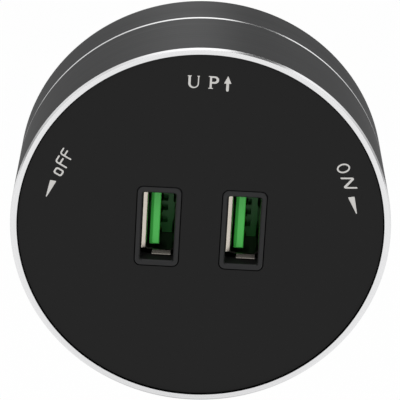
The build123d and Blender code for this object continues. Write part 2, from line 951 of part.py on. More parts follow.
def contact_rotor():
    neck = turned(
        (0, boss_y),
        (neck_radius, boss_y),
        (neck_radius, neck_flange_y),
        (neck_flange_radius, neck_flange_y),
        (neck_flange_radius, -neck_flange_set_in),
        (neck_radius, -neck_flange_set_in),
        (neck_radius, floor_y),
        (0, floor_y),
    )
    head = slab(head_outline(), head_y, cap_y)
    head = chamfer(head.edges().group_by(Axis.Y)[0], head_chamfer)
    head -= slab(offset(head_outline(), -head_wall), floor_y, cap_y)
    spigot = Circle(spigot_radius) & Rectangle(3 * spigot_radius, spigot_flats)
    rotor = neck + head + slab(spigot, cover_front_y, boss_y)
    for side in (-1, 1):
        boss = Pos(side * cap_screw_place, 0) * Circle(cap_boss_radius)
        rotor += slab(boss, floor_y, cap_y - contact_sheet)
        rotor -= contact_window(side)
    rotor -= slab(Circle(neck_bore), cover_front_y, floor_y)
    for hole in rotor_screws(thread_gap) + cap_screws(thread_gap):
        rotor -= hole
    return rotor


def rotor_cap():
    """Lid of the head, with a slot for the earth contact."""
    cap = slab(head_outline(), cap_y, cap_back_y)
    cap = chamfer(cap.edges().group_by(Axis.Y)[-1], cap_chamfer)
    slot_width = earth_width + 2 * contact_gap
    slot_length = 2 * (earth_half_base + contact_sheet + contact_gap)
    cap -= slab(Rectangle(slot_length, slot_width), cap_y, cap_back_y)
    for hole in cap_screws(hole_gap):
        cap -= hole
    return cap


def side_contact(side):
    """Leaf on the head's floor, located by the screw boss, its nose out through the end window."""
    low = floor_y + contact_sheet / 2
    high = cap_y - contact_sheet / 2 - contact_gap
    nose = head_radius + contact_reach
    bend = head_radius - head_wall - contact_sheet
    points = [
        (side * contact_tail, low),
        (side * bend, low),
        (side * nose, (low + high) / 2),
        (side * bend, high),
    ]
    strip = sheet_strip(points, contact_bend, contact_sheet, contact_width)
    boss = Pos(side * cap_screw_place, 0) * Circle(cap_boss_radius + contact_gap)
    return strip - slab(boss, floor_y, cap_y - 2 * contact_sheet)


def earth_contact():
    """Domed leaf clamped under the cap, which meets the rail at the bottom of the track."""
    low = cap_y - contact_sheet / 2
    high = cap_back_y + earth_reach - contact_sheet / 2
    points = [
        (-earth_half_length, low),
        (-earth_half_base, low),
        (-earth_half_top, high),
        (earth_half_top, high),
        (earth_half_base, low),
        (earth_half_length, low),
    ]
    strip = sheet_strip(points, contact_bend, contact_sheet, earth_width)
    for hole in cap_screws(hole_gap):
        strip -= hole
    return strip


def lead(x, z, turn_y, end_x):
    """Insulated lead from the back of the board, down the neck and out to a contact's tail."""
    route = FilletPolyline((x, board_back_y, z), (x, turn_y, z), (end_x, turn_y, z), radius=lead_bend)
    section = (route ^ 0) * Circle(lead_diameter / 2)
    return sweep(section, path=route)


def side_lead(side):
    turn_y = floor_y + contact_sheet + lead_diameter / 2
    return lead(side * lead_offset_x, lead_offset_z, turn_y, side * lead_tail)


def earth_lead():
    turn_y = cap_y - contact_sheet - lead_diameter / 2
    return lead(0, earth_lead_z, turn_y, lead_tail)


left_port, right_port = ports()
pieces = {
    "front_sleeve": front_sleeve(),
    "rear_sleeve": rear_sleeve(),
    "front_housing": front_housing(),
    "port_bezel_left": port_bezel(left_port),
    "port_bezel_right": port_bezel(right_port),
    "usb_shell_left": usb_shell(left_port),
    "usb_shell_right": usb_shell(right_port),
    "usb_tongue_left": usb_tongue(left_port),
    "usb_tongue_right": usb_tongue(right_port),
    "usb_contacts_left": usb_contacts(left_port),
    "usb_contacts_right": usb_contacts(right_port),
    "main_board": main_board(),
    "transformer_core": transformer_core(),
    "transformer_winding": transformer_winding(),
    "bulk_capacitors": bulk_capacitors(),
    "output_capacitors": output_capacitors(),
    "choke": choke(),
    "y_capacitor": y_capacitor(),
    "fuse": fuse(),
    "bridge_rectifier": bridge_rectifier(),
    "controller_chips": controller_chips(),
    "rear_cover": rear_cover(),
    "frame_screws": Compound(frame_screws()),
    "rotor_screws": Compound(rotor_screws()),
    "cap_screws": Compound(cap_screws()),
    "base_plate": base_plate(),
    "thrust_washer": thrust_washer(),
    "detent_springs": detent_springs(),
    "contact_rotor": contact_rotor(),
    "rotor_cap": rotor_cap(),
    "live_contact": side_contact(1),
    "neutral_contact": side_contact(-1),
    "earth_contact": earth_contact(),
    "live_lead": side_lead(1),
    "neutral_lead": side_lead(-1),
    "earth_lead": earth_lead(),
}

os.makedirs("parts", exist_ok=True)
for name, piece in pieces.items():
    export_step(piece, f"parts/{name}.step")
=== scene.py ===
from math import atan2, cos, degrees, hypot, pi, radians, sin

import bmesh
import bpy
from bpy.props import FloatProperty, FloatVectorProperty, IntProperty, PointerProperty
from bpy.types import Operator, Panel, PropertyGroup
from mathutils import Matrix, Vector


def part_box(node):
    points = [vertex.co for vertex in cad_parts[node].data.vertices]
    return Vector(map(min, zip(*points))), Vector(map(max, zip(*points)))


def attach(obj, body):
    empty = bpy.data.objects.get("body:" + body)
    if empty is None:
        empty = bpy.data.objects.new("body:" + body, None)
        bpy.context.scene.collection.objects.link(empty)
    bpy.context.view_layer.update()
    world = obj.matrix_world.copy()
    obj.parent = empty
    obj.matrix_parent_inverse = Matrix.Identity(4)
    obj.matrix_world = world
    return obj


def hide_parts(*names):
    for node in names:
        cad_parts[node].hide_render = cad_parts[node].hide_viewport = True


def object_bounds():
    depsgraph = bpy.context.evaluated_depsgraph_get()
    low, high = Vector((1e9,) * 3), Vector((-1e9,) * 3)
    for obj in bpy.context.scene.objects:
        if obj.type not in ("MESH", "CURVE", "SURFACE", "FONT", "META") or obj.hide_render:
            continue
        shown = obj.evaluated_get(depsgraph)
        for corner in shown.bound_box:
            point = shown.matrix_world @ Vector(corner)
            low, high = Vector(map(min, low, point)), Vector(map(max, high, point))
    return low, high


bl_info = {
    "name": "Power Track Adapter",
    "version": (1, 0, 0),
    "blender": (4, 5, 0),
    "location": "3D View > Sidebar > Track Adapter",
    "description": "Dresses a round power track adapter with two charging ports",
    "category": "Add Mesh",
}

# The frame gives every place in metres: the face looks along -Y, up is +Z, +Y goes into the track.
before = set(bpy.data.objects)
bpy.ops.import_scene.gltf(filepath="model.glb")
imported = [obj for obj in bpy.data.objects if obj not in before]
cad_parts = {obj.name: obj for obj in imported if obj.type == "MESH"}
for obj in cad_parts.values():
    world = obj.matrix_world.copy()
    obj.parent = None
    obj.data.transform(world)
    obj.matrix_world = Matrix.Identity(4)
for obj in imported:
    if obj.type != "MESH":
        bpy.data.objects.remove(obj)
cad_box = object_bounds()

MM = 0.001
FRONT = "twist_body"
BASE = "base"


def linear(hex_colour):
    """The linear colour that a shader takes, from an sRGB hex value."""
    shares = [int(hex_colour[start:start + 2], 16) / 255 for start in (1, 3, 5)]
    return [s / 12.92 if s <= 0.04045 else ((s + 0.055) / 1.055) ** 2.4 for s in shares]


WHITE = linear("#FFFFFF")


# Settings


def size(name, millimetres, text):
    return FloatProperty(
        name=name, description=text, default=millimetres * MM, unit="LENGTH", precision=5
    )


def share(name, value, text):
    return FloatProperty(
        name=name, description=text, default=value, subtype="FACTOR", min=0.0, max=1.0
    )


def slant(name, value, text):
    return FloatProperty(name=name, description=text, default=radians(value), subtype="ANGLE")


def colour(name, hex_colour, text):
    return FloatVectorProperty(
        name=name, description=text, default=linear(hex_colour), subtype="COLOR", size=3,
        min=0.0, max=1.0,
    )


class SleeveSettings(PropertyGroup):
    wall: size("Wall", 1.3, "Thickness of the turned tubes")
    rim_chamfer: size("Rim chamfer", 0.33, "Bright chamfer round the front rim")
    rim_inner_edge: size("Rim inner edge", 0.08, "Dark chamfer round the rim's bore")
    collar_chamfer: size("Collar chamfer", 0.3, "Bright chamfer on the rear sleeve's front edge")
    edge_break: size("Edge break", 0.15, "Chamfer on the tubes' other edges")
    front_lip: size("Front lip", 1.3, "How far the front sleeve's rear lip reaches in")
    front_lip_depth: size("Front lip depth", 1.25, "Depth of the front sleeve's rear lip")
    rear_lip: size("Rear lip", 1.2, "How far the rear sleeve's seat lip reaches in")
    rear_lip_depth: size("Rear lip depth", 1.4, "Depth of the rear sleeve's seat lip")
    softness: size("Softness", 0.04, "Rounding of each turned edge")
    segments: IntProperty(name="Segments", description="Facets round a sleeve", default=360, min=24)
    anodised: colour("Anodised", "#1C1D1F", "Black anodised aluminium")
    cut: colour("Cut metal", "#EEEEEF", "Bare aluminium where the tool cut through the anodising")


class FaceSettings(PropertyGroup):
    edge_gap: size("Edge gap", 0.13, "Room between the face's edge and the rim")
    edge_width: size("Edge width", 0.51, "Width of the crisp edge over the moulding's rounder one")
    edge_depth: size("Edge depth", 0.6, "Depth of the crisp edge")
    edge_radius: size("Edge radius", 0.08, "Rounding of the crisp edge")
    moulding: colour("Face", "#151515", "Black moulded face")
    ink: colour("Ink", "#C8C6C3", "Pale grey printing ink")
    ink_thickness: size("Ink thickness", 0.02, "How far the print stands off the face")
    ink_edge: size("Ink edge", 0.006, "Rounding of the print's edge")


class PortSettings(PropertyGroup):
    nose_width: size("Nose width", 8.3, "Width of the frame in the face")
    nose_height: size("Nose height", 16.0, "Height of the frame in the face")
    corner: size("Corner", 1.1, "Corner radius of the frame")
    nose_edge: size("Nose edge", 0.25, "Rounding of the frame's front edge")
    opening_width: size("Opening width", 6.35, "Width of the hole in the frame")
    opening_height: size("Opening height", 13.7, "Height of the hole in the frame")
    opening_corner: size("Opening corner", 0.5, "Corner radius of the hole")
    opening_chamfer: size("Opening chamfer", 0.25, "Lead-in chamfer of the hole")
    flange_thickness: size("Flange thickness", 1.2, "Thickness of the flange behind the face")
    pocket_width: size("Pocket width", 7.4, "Width of the pocket behind the hole")
    pocket_height: size("Pocket height", 14.48, "Height of the pocket behind the hole")
    pocket_corner: size("Pocket corner", 0.8, "Corner radius of the pocket")
    pocket_gap: size("Pocket gap", 0.15, "Room between the shell's lips and the pocket")
    softness: size("Softness", 0.05, "Rounding of the frame's other edges")
    bezel: colour("Bezel", "#1D1D1E", "Satin black frame")
    # Painted shade: the walls of the hole and the pocket are painted darker than the frame
    hole: colour("Hole", "#131313", "Matt walls of the hole and the pocket")
    plating: colour("Plating", "#D3CBBF", "Nickel plating on the side lips")
    # Painted shade: the end lips are painted darker than the side lips
    plating_end_shade: colour("Plating sheared", "#807B75", "Nickel plating on the dull end lips")
    # Painted shade: the plating is painted this dark deep in the shells
    plating_deep_shade: colour("Plating inside", "#504E49", "Nickel plating deep in the shells")
    tongue: colour("Tongue", "#4BC854", "Green tongue")
    # Painted shade: the green is painted this dark deep in the shells
    tongue_deep_shade: colour("Tongue inside", "#1E7B2F", "Green at the bottom of the shells")
    gold: colour("Gold", "#D9B25E", "Gold flash on the contacts")


class ChargerSettings(PropertyGroup):
    solder_mask: colour("Solder mask", "#1F5A33", "Green lacquer over the board")
    ferrite: colour("Ferrite", "#3A3A3C", "Ground ferrite of the transformer")
    magnet_wire: colour("Magnet wire", "#9A5A2C", "Enamelled copper wire of the choke")
    tape: colour("Tape", "#D8B530", "Polyester tape round the transformer")
    can_sleeve: colour("Can sleeve", "#2B3357", "Shrunk sleeve of the capacitors")
    disc: colour("Disc", "#2E62B8", "Dipped disc capacitor")
    fuse_case: colour("Fuse case", "#2C2522", "Moulded case of the fuse")
    epoxy: colour("Epoxy", "#1B1B1D", "Moulded cases of the chips and the rectifier")


class TrackKeySettings(PropertyGroup):
    nylon: colour("Nylon", "#1A1A1B", "Black glass-filled base and key")
    acetal: colour("Acetal", "#E2E1DC", "Natural acetal washer")
    spring_steel: colour("Spring steel", "#A9ABAD", "Click springs")
    bronze: colour("Bronze", "#C08F55", "Spring bronze contacts")
    zinc: colour("Zinc", "#C4C6C8", "Zinc-plated screws")
    live: colour("Live lead", "#6B4428", "Brown insulation")
    neutral: colour("Neutral lead", "#2D55A5", "Blue insulation")
    earth: colour("Earth lead", "#3F8F3A", "Green ground of the striped insulation")
    earth_stripe: colour("Earth stripe", "#D9C63A", "Yellow stripe of the insulation")
    frame_screw_shank: size("Frame screw shank", 1.45, "Shank radius of the frame screws")
    frame_screw_head: size("Frame screw head", 2.7, "Head radius of the frame screws")
    small_screw_shank: size("Small screw shank", 0.9, "Shank radius of the key's screws")
    small_screw_head: size("Small screw head", 1.7, "Head radius of the key's screws")


class StageSettings(PropertyGroup):
    focal_length: FloatProperty(
        name="Focal length", description="Lens of the camera", default=226.3, unit="CAMERA"
    )
    distance: size("Distance", 475.0, "From the lens to the middle of the front rim")
    tilt: slant("Tilt", 21.95, "How far the camera looks down on the axis")
    yaw: slant("Yaw", -0.17, "How far the camera looks from the right")
    roll: slant("Roll", 3.07, "Turn of the camera about the axis")
    aim_height: size("Aim height", 5.55, "How far above the rim's middle the camera points")
    aim_side: size("Aim side", -0.08, "How far right of the rim's middle the camera points")
    floor_drop: size("Floor drop", 160.0, "From the axis down to the floor")
    floor_reach: size("Floor reach", 3000.0, "Half the width of the floor")
    # Painted shade: the floor's glow in the metal fades behind the adapter
    sweep_start: size("Sweep start", 100.0, "Where the floor behind the adapter begins to fade")
    sweep_end: size("Sweep end", 350.0, "Where the floor behind the adapter has faded")
    sweep_far_level: share("Sweep far level", 0.3, "Brightness of the faded floor in the metal")
    # The floor's glow in the metal holds a painted shadow under the adapter
    shade_width: size("Shade width", 80.0, "Half the width of the floor's shade under the adapter")
    shade_length: size("Shade length", 420.0, "How far that shade reaches forward and back")
    shade_level: share("Shade level", 0.6, "Brightness of the shaded floor in the metal")
    floor: colour("Floor", "#FFFFFF", "White studio floor")
    fill: share("Fill", 0.85, "Strength of the even light from all round")
    lamp_place: FloatVectorProperty(
        name="Lamp place", description="Where the soft box hangs", default=(-0.15, -0.45, 0.75),
        subtype="TRANSLATION",
    )
    lamp_width: size("Lamp width", 600.0, "Width of the soft box")
    lamp_power: FloatProperty(
        name="Lamp power", description="Power of the soft box", default=2.0, unit="POWER"
    )


# Shapes

# Two places nearer than this count as one
TOUCH = 0.01 * MM
# An edge that turns by more degrees than this stays sharp
SHARP = 35.0


def soften(points, reach, steps=3):
    """A closed outline, or a row of sections, with its corners rounded.

    The rounding starts as far from a corner as reach, which is one number or one for each corner.
    """
    reaches = reach if isinstance(reach, list) else [reach] * len(points)
    # What one corner may take of a side, so that two never meet
    most = 0.45
    rounded = []
    for index, (point, corner_reach) in enumerate(zip(points, reaches)):
        here = Vector(point)
        before = Vector(points[index - 1])
        after = Vector(points[(index + 1) % len(points)])
        near = here + (before - here) * min(corner_reach / (before - here).length, most)
        far = here + (after - here) * min(corner_reach / (after - here).length, most)
        for step in range(steps + 1):
            t = step / steps
            rounded.append(near * (1 - t) ** 2 + here * (2 * t * (1 - t)) + far * t ** 2)
    return rounded


def arc(x, z, radius_x, radius_z, start, end, steps=12):
    """Points of an elliptical arc, its angles in degrees."""
    angles = [radians(start + (end - start) * step / steps) for step in range(steps + 1)]
    return [(x + radius_x * cos(a), z + radius_z * sin(a)) for a in angles]


def circle_ring(section, count):
    """A ring about the axis from a (radius, depth) section."""
    radius, depth = section
    angles = [2 * pi * index / count for index in range(count)]
    return [(radius * cos(a), depth, radius * sin(a)) for a in angles]


def rounded_rectangle(width, height, corner, x=0.0, z=0.0):
    outline = []
    for start, side_x, side_z in ((0, 1, 1), (90, -1, 1), (180, -1, -1), (270, 1, -1)):
        corner_x = x + side_x * (width / 2 - corner)
        corner_z = z + side_z * (height / 2 - corner)
        outline += arc(corner_x, corner_z, corner, corner, start, start + 90, steps=6)
    return outline


def box_ring(section):
    """A rounded rectangle from a (width, height, corner, depth, x, z) section."""
    width, height, corner, depth, x, z = section
    return [(px, depth, pz) for px, pz in rounded_rectangle(width, height, corner, x, z)]


def skin(mesh, rings, finish_of=None, closed=True):
    """Walls from ring to ring, closed by the last and first ring, or with both ends filled."""
    rows = [[mesh.verts.new(point) for point in ring] for ring in rings]
    following = rows[1:] + rows[:1] if closed else rows[1:]
    for row, next_row in zip(rows, following):
        for index in range(len(row)):
            after = (index + 1) % len(row)
            face = mesh.faces.new((row[index], row[after], next_row[after], next_row[index]))
            if finish_of:
                face.material_index = finish_of(face.calc_center_median())
    if not closed:
        mesh.faces.new(rows[0])
        mesh.faces.new(rows[-1])


def facing(depth):
    """Stands a flat drawing up at a depth, with its front towards -Y."""
    return Matrix((
        (1, 0, 0, 0),
        (0, 0, -1, depth),
        (0, 1, 0, 0),
        (0, 0, 0, 1),
    ))


def add_object(name, data):
    thing = bpy.data.objects.new(name, data)
    bpy.context.scene.collection.objects.link(thing)
    return thing


def add_piece(name, mesh, finishes, body, replaced=()):
    """Makes a mesh into a piece that rides on a body."""
    bmesh.ops.recalc_face_normals(mesh, faces=mesh.faces[:])
    data = bpy.data.meshes.new(name)
    mesh.to_mesh(data)
    mesh.free()
    for finish in finishes:
        data.materials.append(finish)
    data.polygons.foreach_set("use_smooth", [True] * len(data.polygons))
    data.set_sharp_from_angle(angle=radians(SHARP))
    piece = add_object(name, data)
    # Large faces keep their own normals, so that only the rounded edges shade round
    weighting = piece.modifiers.new("face_weighting", "WEIGHTED_NORMAL")
    weighting.keep_sharp = True
    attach(piece, body)
    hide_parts(*replaced)


def dress(finish, *names):
    """Gives nodes of the frame a finish."""
    for name in names:
        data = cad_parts[name].data
        data.materials.clear()
        data.materials.append(finish)


# Materials. The lengths in patterns are in millimetres.


def add_node(tree, kind, inputs=None, **settings):
    """Adds a node. An input is a value, a socket, or a node whose first output is linked."""
    node = tree.nodes.new("ShaderNode" + kind)
    for name, value in settings.items():
        setattr(node, name, value)
    for key, value in (inputs or {}).items():
        if isinstance(key, int):
            socket = node.inputs[key]
        else:
            socket = next(one for one in node.inputs if one.enabled and one.name == key)
        if isinstance(value, bpy.types.Node):
            value = next(output for output in value.outputs if output.enabled)
        if isinstance(value, bpy.types.NodeSocket):
            tree.links.new(value, socket)
        elif socket.type == "RGBA":
            socket.default_value = (*value[:3], 1.0)
        else:
            socket.default_value = value
    return node


def maths(tree, operation, *values, kind="Math"):
    return add_node(tree, kind, dict(enumerate(values)), operation=operation)


def mix(tree, inputs):
    return add_node(tree, "Mix", inputs, data_type="RGBA")


def fade(tree, value, start, end, low=0.0, high=1.0):
    """Goes from low to high while a value goes from start to end."""
    return add_node(tree, "MapRange", {
        "Value": value, "From Min": start, "From Max": end, "To Min": low, "To Max": high,
    })


def noise(tree, place, *marks, detail=2.0):
    """Noise whose marks have this length all round, or these along X, Y and Z."""
    scales = [1 / (mark * MM) for mark in marks]
    if len(scales) == 1:
        return add_node(tree, "TexNoise", {"Vector": place, "Scale": scales[0], "Detail": detail})
    along = add_node(tree, "Mapping", {"Vector": place, "Scale": scales})
    return add_node(tree, "TexNoise", {"Vector": along, "Scale": 1.0, "Detail": detail})


def new_material(name):
    """A material with an empty tree, and the object coordinates that its patterns lie in."""
    material = bpy.data.materials.new(name)
    material.use_nodes = True
    tree = material.node_tree
    tree.nodes.clear()
    return material, tree, add_node(tree, "TexCoord").outputs["Object"]


def close_material(material, colours, roughness, relief, plain):
    """Adds the surface shader and the output.

    Colours are a mix's inputs, roughness is a pattern and the values it runs between, relief is a
    pattern with its height and strength, or None, and plain holds what is the same all over.
    """
    tree = material.node_tree
    pattern, low, high = roughness
    inputs = {
        "Base Color": mix(tree, colours),
        "Roughness": fade(tree, pattern, 0.0, 1.0, low, high),
    }
    if relief:
        pattern, height, strength = relief
        bump = {"Height": pattern, "Distance": height * MM, "Strength": strength}
        inputs["Normal"] = add_node(tree, "Bump", bump)
    shader = add_node(tree, "BsdfPrincipled", {**inputs, **plain})
    add_node(tree, "OutputMaterial", {"Surface": shader})
    return material


def shades(pattern, base, low=0.9, high=1.1):
    """Inputs of a mix that takes a colour from a little darker to a little lighter."""
    lighter = [min(c * high, 1.0) for c in base]
    return {"Factor": pattern, "A": [c * low for c in base], "B": lighter}


# From band to band of a wave texture, at a scale of 1
WAVE = 2 * pi / 20


def turned_anodised_aluminium(settings):
    """Dyed anodising over a turned tube: a dark metal sheen with faint rings from the tool."""
    material, tree, place = new_material("turned_anodised_aluminium")
    # The tool's feed of about 0.15 mm, drawn at 0.3 mm so that it shows
    rings = noise(tree, place, 60, 0.3, 60, detail=3.0)
    # The metal's grains, which take the dye unevenly
    grain = noise(tree, place, 0.25)
    return close_material(
        material, shades(grain, settings.anodised), (rings, 0.32, 0.44), (rings, 0.002, 0.5),
        {"Metallic": 1.0},
    )


def diamond_cut_aluminium(settings):
    """Bare metal left by a diamond tool: bright, with fine rings about the axis."""
    material, tree, place = new_material("diamond_cut_aluminium")
    # Noise along the distance from the axis, which runs along Y
    flat = maths(tree, "MULTIPLY", place, (1.0, 0.0, 1.0), kind="VectorMath")
    radius = maths(tree, "LENGTH", flat, kind="VectorMath")
    # A cutter feed of about 0.05 mm, drawn at 0.18 mm so that it shows
    radial = {"W": radius, "Scale": 1 / (0.18 * MM)}
    rings = add_node(tree, "TexNoise", radial, noise_dimensions="1D")
    return close_material(
        material, shades(rings, settings.cut, 0.86, 1.03), (rings, 0.16, 0.28), None,
        {"Metallic": 1.0},
    )


def spark_eroded_polycarbonate(settings):
    """Moulding from a spark-eroded tool: near black, matt, with a fine even grain."""
    material, tree, place = new_material("spark_eroded_polycarbonate")
    # The tool's grain of about 0.05 mm, drawn at 0.2 mm so that it shows
    grain = noise(tree, place, 0.2, detail=3.0)
    return close_material(
        material, shades(grain, settings.moulding), (grain, 0.5, 0.6), (grain, 0.006, 0.3),
        {"IOR": 1.585, "Specular IOR Level": 0.14},
    )


def moulded(name, base, ior, roughness, grain=0.3, height=0.004, shine=0.35):
    """A moulded or extruded surface, a little streaked by the flow, with the tool's grain."""
    material, tree, place = new_material(name)
    # The tool's grain, drawn a few times coarser than it is so that it shows
    tool = noise(tree, place, grain)
    # Flow marks in moulded plastic run over several millimetres
    flow = noise(tree, place, 6)
    spread = 0.06
    return close_material(
        material, shades(flow, base), (tool, roughness - spread, roughness + spread),
        (tool, height, 0.4), {"IOR": ior, "Specular IOR Level": shine},
    )


def worked_metal(name, base, roughness, marks=(0.15, 4, 0.15), height=0.001):
    """Bare or plated metal: a soft shine with fine marks that run as the metal was worked."""
    material, tree, place = new_material(name)
    # Marks of a few hundredths of a millimetre, drawn coarser so that they show
    lines = noise(tree, place, *marks, detail=3.0)
    spread = 0.07
    return close_material(
        material, shades(lines, base, 0.92, 1.04),
        (lines, roughness - spread, roughness + spread), (lines, height, 0.4), {"Metallic": 1.0},
    )


def nickel_plated_steel(settings, near, far, middle, end):
    """Plated strip, pressed to shape: bright on the side lips near the mouth, and painted darker
    elsewhere as painted shade, on the end lips and deep in the shell.
    """
    material, tree, place = new_material("nickel_plated_pressed_steel")
    # Drawing marks of about 0.03 mm, drawn at 0.12 mm so that they show
    lines = noise(tree, place, 0.12, 3, 0.12, detail=3.0)
    lit_plating = mix(tree, shades(lines, settings.plating, 0.93, 1.04))
    parts = add_node(tree, "SeparateXYZ", {"Vector": place}).outputs
    off_middle = maths(tree, "ABSOLUTE", maths(tree, "SUBTRACT", parts["Z"], middle))
    # Painted shade on the lips at the shell's ends
    at_end = fade(tree, off_middle, end, end + 0.3 * MM)
    lips = mix(tree, {"Factor": at_end, "A": lit_plating, "B": settings.plating_end_shade})
    # Painted shade, darker deeper in the shell
    inside = fade(tree, parts["Y"], near, far)
    return close_material(
        material, {"Factor": inside, "A": lips, "B": settings.plating_deep_shade},
        (lines, 0.16, 0.3), (lines, 0.001, 0.3), {"Metallic": 1.0},
    )


def green_polyester(settings, near, far):
    """Glass-filled polyester: a clear green, slightly glossy, and painted darker the deeper it
    sits, as painted shade.
    """
    material, tree, place = new_material("moulded_green_polyester")
    # Glass fibres of about 0.01 mm, drawn 0.2 mm thick and 0.6 mm long so that they show
    fibres = noise(tree, place, 0.2, 0.6, 0.2)
    green = mix(tree, shades(fibres, settings.tongue, 0.93, 1.07))
    # Painted shade, darker the deeper the tongue sits
    depth = add_node(tree, "SeparateXYZ", {"Vector": place}).outputs["Y"]
    inside = fade(tree, depth, near, far)
    return close_material(
        material, {"Factor": inside, "A": green, "B": settings.tongue_deep_shade},
        (fibres, 0.34, 0.46), (fibres, 0.003, 0.3), {"IOR": 1.55, "Specular IOR Level": 0.4},
    )


def solder_masked_laminate(settings):
    """Glass and epoxy board under green lacquer: the weave shows as a faint grid."""
    material, tree, place = new_material("solder_masked_laminate")
    # Glass cloth of about 0.4 mm from thread to thread
    threads = {"Vector": place, "Scale": WAVE / (0.4 * MM)}
    warp = add_node(tree, "TexWave", threads, bands_direction="X").outputs["Fac"]
    weft = add_node(tree, "TexWave", threads, bands_direction="Z").outputs["Fac"]
    weave = maths(tree, "MULTIPLY", warp, weft)
    return close_material(
        material, shades(weave, settings.solder_mask, 0.85, 1.15),
        (weave, 0.28, 0.38), (weave, 0.004, 0.3), {"IOR": 1.5},
    )


def enamelled_wire(settings):
    """Wound magnet wire: copper seen through clear brown enamel, turn beside turn."""
    material, tree, place = new_material("enamelled_magnet_wire")
    # Wire of 0.5 mm
    wires = {"Vector": place, "Scale": WAVE / (0.5 * MM)}
    turns = add_node(tree, "TexWave", wires, bands_direction="Y").outputs["Fac"]
    return close_material(
        material, shades(turns, settings.magnet_wire, 0.6, 1.15),
        (turns, 0.42, 0.28), (turns, 0.1, 0.4), {"Metallic": 0.6, "Coat Weight": 0.4},
    )


def striped_insulation(settings):
    """Extruded insulation with a second colour run in beside the first, along the lead."""
    material, tree, place = new_material("striped_extruded_pvc")
    across = add_node(tree, "SeparateXYZ", {"Vector": place}).outputs["Z"]
    # Two broad stripes over the lead's 1.7 mm
    width = 0.85 * MM
    bands = maths(tree, "PINGPONG", across, width)
    edge = fade(tree, bands, 0.45 * width, 0.55 * width)
    # The skin is uneven over about 0.5 mm
    grain = noise(tree, place, 0.5)
    return close_material(
        material, {"Factor": edge, "A": settings.earth, "B": settings.earth_stripe},
        (grain, 0.42, 0.54), None, {"IOR": 1.54},
    )


def printing_ink(settings):
    """Pad-printed ink: flat, pale and matt, thinner here and there."""
    material, tree, place = new_material("pad_printed_ink")
    # Thin patches of about 0.3 mm
    patches = noise(tree, place, 0.3)
    return close_material(
        material, shades(patches, settings.ink, 0.92, 1.04), (patches, 0.5, 0.6), None,
        {"Specular IOR Level": 0.3},
    )


# Sleeves


def add_sleeve(name, body, inner_edge, chamfer, lip, lip_depth, finishes, settings):
    """A turned tube with a cut chamfer in front, and a lip that reaches in at its back."""
    low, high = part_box(name)
    radius, front, back = high.x, low.y, high.y
    bore = radius - settings.wall
    edge = settings.edge_break
    profile = [
        (bore + inner_edge, front),
        (radius - chamfer, front),
        (radius, front + chamfer),
        (radius, back - edge),
        (radius - edge, back),
        (bore - lip, back),
        (bore - lip, back - lip_depth),
        (bore, back - lip_depth),
    ]
    if inner_edge:
        profile.insert(0, (bore, front + inner_edge))
    back_of_cut, inside_of_cut = front + chamfer + TOUCH, bore + inner_edge - TOUCH

    def finish_of(place):
        return int(place.y < back_of_cut and hypot(place.x, place.z) > inside_of_cut)

    mesh = bmesh.new()
    sections = soften(profile, settings.softness)
    skin(mesh, [circle_ring(section, settings.segments) for section in sections], finish_of)
    add_piece(name + "_turned", mesh, finishes, body, [name])


class AdapterSleeves(Operator):
    """Turns both sleeves, with their bright cut edges"""
    bl_idname = "track_adapter.sleeves"
    bl_label = "Sleeves"

    def execute(self, context):
        settings = context.scene.adapter_sleeves
        finishes = [turned_anodised_aluminium(settings), diamond_cut_aluminium(settings)]
        add_sleeve(
            "front_sleeve", FRONT, settings.rim_inner_edge, settings.rim_chamfer,
            settings.front_lip, settings.front_lip_depth, finishes, settings,
        )
        add_sleeve(
            "rear_sleeve", BASE, 0.0, settings.collar_chamfer,
            settings.rear_lip, settings.rear_lip_depth, finishes, settings,
        )
        return {"FINISHED"}


# Face and its printed marks. A mark's outlines are in millimetres, its own top up.


def roman_u():
    """U with a thick left stem, a thin right one, and a serif on each."""
    outer = arc(0.0, -0.3, 0.99, 0.92, 360, 180)
    inner = arc(0.11, -0.3, 0.66, 0.66, 180, 360)
    left_top = [
        (-0.99, 1.06), (-1.14, 1.1), (-1.14, 1.24), (-0.42, 1.24), (-0.42, 1.1), (-0.55, 1.06),
    ]
    right_top = [(0.77, 1.06), (0.62, 1.1), (0.62, 1.24), (1.1, 1.24), (1.1, 1.1), (0.99, 1.06)]
    return [outer + left_top + inner + right_top]


def roman_p():
    """P with serifs at the top and the foot of its stem."""
    bowl = arc(0.22, 0.495, 0.78, 0.725, 90, -90)
    foot = [
        (-0.3, -0.23), (-0.3, -1.06), (-0.05, -1.1), (-0.05, -1.24), (-0.93, -1.24), (-0.93, -1.1),
    ]
    top = [(-0.68, -1.06), (-0.68, 1.04), (-0.93, 1.08), (-0.93, 1.22)]
    hole = arc(0.12, 0.52, 0.42, 0.39, -90, 90) + [(-0.3, 0.91), (-0.3, 0.13)]
    return [top + bowl + foot, hole]


def up_arrow():
    head = [(0.0, 1.52), (-0.68, 0.04), (-0.25, 0.04)]
    foot = arc(0.0, -1.26, 0.25, 0.24, 180, 360, steps=8)
    return [head + foot + [(0.25, 0.04), (0.68, 0.04)]]


def oval(width, height, stroke):
    outer = arc(0, 0, width / 2, height / 2, 0, 360, steps=48)
    inner = arc(0, 0, width / 2 - stroke, height / 2 - stroke, 0, 360, steps=48)
    # Without the last point, because an outline closes by itself
    return [outer[:-1], inner[:-1]]


def square_o(width, height, corner, stroke):
    inner = rounded_rectangle(width - 2 * stroke, height - 2 * stroke, corner - stroke / 2)
    return [rounded_rectangle(width, height, corner), inner]


def soften_each(corners):
    """An outline from (x, z, reach) corners, each rounded by its own reach."""
    return soften([corner[:2] for corner in corners], [corner[2] for corner in corners], 5)


